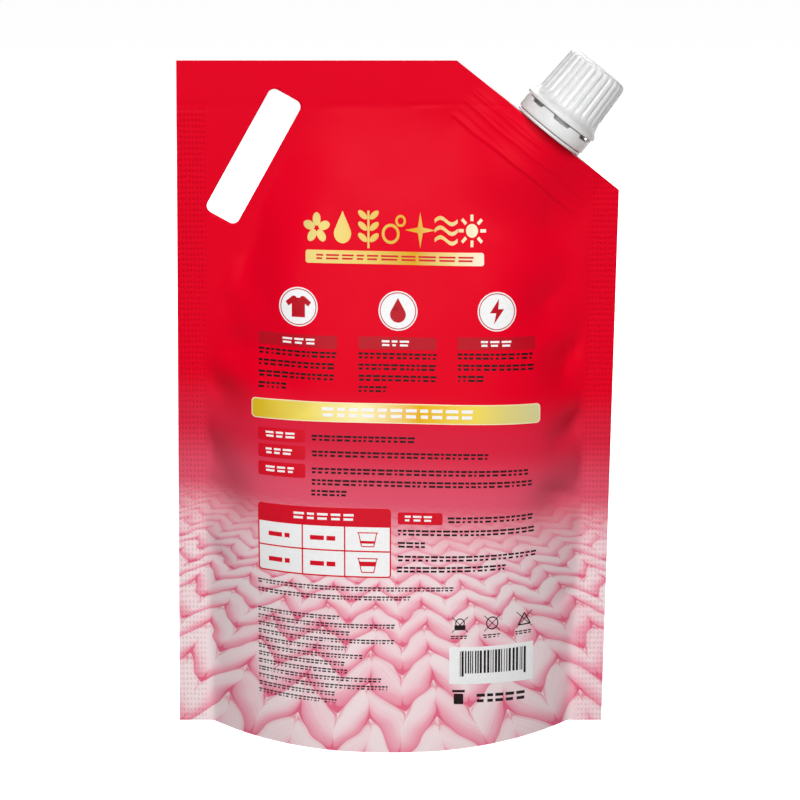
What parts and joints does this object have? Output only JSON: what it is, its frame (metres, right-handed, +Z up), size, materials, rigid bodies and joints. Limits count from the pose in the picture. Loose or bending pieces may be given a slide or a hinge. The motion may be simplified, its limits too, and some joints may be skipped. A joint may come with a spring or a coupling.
{
  "type": "laundry liquid refill pouch",
  "caption": "Stand-up film pouch with an opened base gusset, a slanted carrying slot and a ribbed screw cap on a corner spout.",
  "frame": {"origin": "on the floor under the middle of the part's box", "axes": "+Z up, +X towards the spout's side, -Y towards the printed panel"},
  "size_m": [0.1776, 0.076, 0.2745],
  "materials": {
    "printed_film": "satin printed laminate film",
    "spout_plastic": "moulded polyethylene, slightly milky",
    "ring_plastic": "moulded polypropylene, milky",
    "cap_plastic": "moulded polypropylene, milky",
    "liner_foam": "pressed foam sheet"
  },
  "bodies": {
    "root": {"pouch": "printed_film", "spout": "spout_plastic", "tamper_ring": "ring_plastic"},
    "liner": {"cap_liner": "liner_foam"},
    "cap": {"cap": "cap_plastic"}
  },
  "joints": [
    {"name": "cap_lift", "type": "slide", "parent": "root", "child": "liner", "axis": [0.6201, 0, 0.7845], "range_m": [0, 0.00901]},
    {"name": "cap_turn", "type": "hinge", "parent": "liner", "child": "cap", "pos_m": [0.07183, 0, 0.2576], "axis": [0.6201, 0, 0.7845], "range_deg": [0, 810]}
  ],
  "couplings": [
    {"joint": "cap_lift", "follows": "cap_turn", "m_per_rad": 0.00063662}
  ]
}
